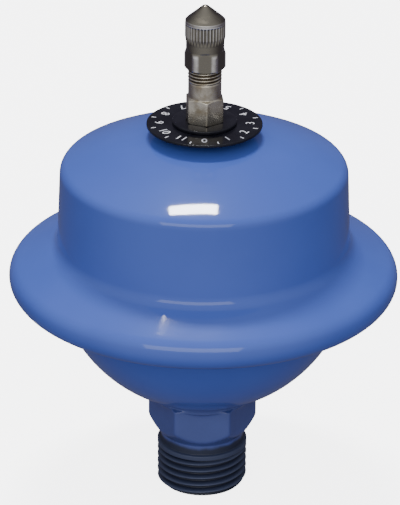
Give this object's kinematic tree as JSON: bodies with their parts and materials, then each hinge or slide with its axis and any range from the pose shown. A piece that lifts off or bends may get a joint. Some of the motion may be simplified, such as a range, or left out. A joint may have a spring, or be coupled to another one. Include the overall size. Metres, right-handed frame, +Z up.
{
  "type": "water hammer arrestor",
  "caption": "Diaphragm water hammer arrestor: blue steel dome and bowl with a rolled brim, a threaded hexagonal water connector below and a capped charging valve on top.",
  "frame": {"origin": "centre of the water connector's lower end face", "axes": "+Z up along the common axis, from the pipe thread to the valve cap; +X through a corner of the large hexagon, -Y towards the viewer"},
  "size_m": [0.0892, 0.0892, 0.1191],
  "materials": {
    "blue_enamel": "glossy enamel on pressed steel",
    "painted_connector": "glossy enamel, thin and dark on the thread",
    "rubber": "matt moulded rubber",
    "steel": "plain turned or drawn steel",
    "black_disc": "glossy black with white figures",
    "nickel_plate": "bright nickel plate on brass",
    "brass": "turned brass"
  },
  "bodies": {
    "housing": {"lower_shell": "blue_enamel", "upper_shell": "blue_enamel", "water_connector": "painted_connector", "diaphragm": "rubber", "clamp_ring": "steel", "valve_boss": "blue_enamel", "rating_disc": "black_disc", "hub_washer": "black_disc", "valve_oring": "rubber", "valve_stem": "nickel_plate", "core_plug": "brass", "core_barrel": "brass", "core_gasket": "rubber", "core_spring": "steel"},
    "cap_carrier": {"cap_seal": "rubber"},
    "cap": {"cap_shell": "nickel_plate"},
    "core": {"core_pin": "brass", "core_cup": "brass", "core_seat_seal": "rubber"},
    "diaphragm_middle": {"diaphragm_button": "steel"}
  },
  "joints": [
    {"name": "cap_lift", "type": "slide", "parent": "housing", "child": "cap_carrier", "axis": [0, 0, 1], "range_m": [0, 0.011]},
    {"name": "cap_turn", "type": "hinge", "parent": "cap_carrier", "child": "cap", "pos_m": [0, 0, 0.1043], "axis": [0, 0, 1], "range_deg": [0, 4990]},
    {"name": "core_press", "type": "slide", "parent": "housing", "child": "core", "axis": [0, 0, -1], "range_m": [0, 0.0015], "stiffness_N_per_m": 600, "springref_m": -0.001, "deforming": ["core_spring"]},
    {"name": "diaphragm_stroke", "type": "slide", "parent": "housing", "child": "diaphragm_middle", "axis": [0, 0, 1], "range_m": [0, 0.025], "stiffness_N_per_m": 500, "springref_m": -0.005, "deforming": ["diaphragm"]}
  ],
  "couplings": [
    {"joint": "cap_turn", "follows": "cap_lift", "rad_per_m": 7915.8}
  ]
}
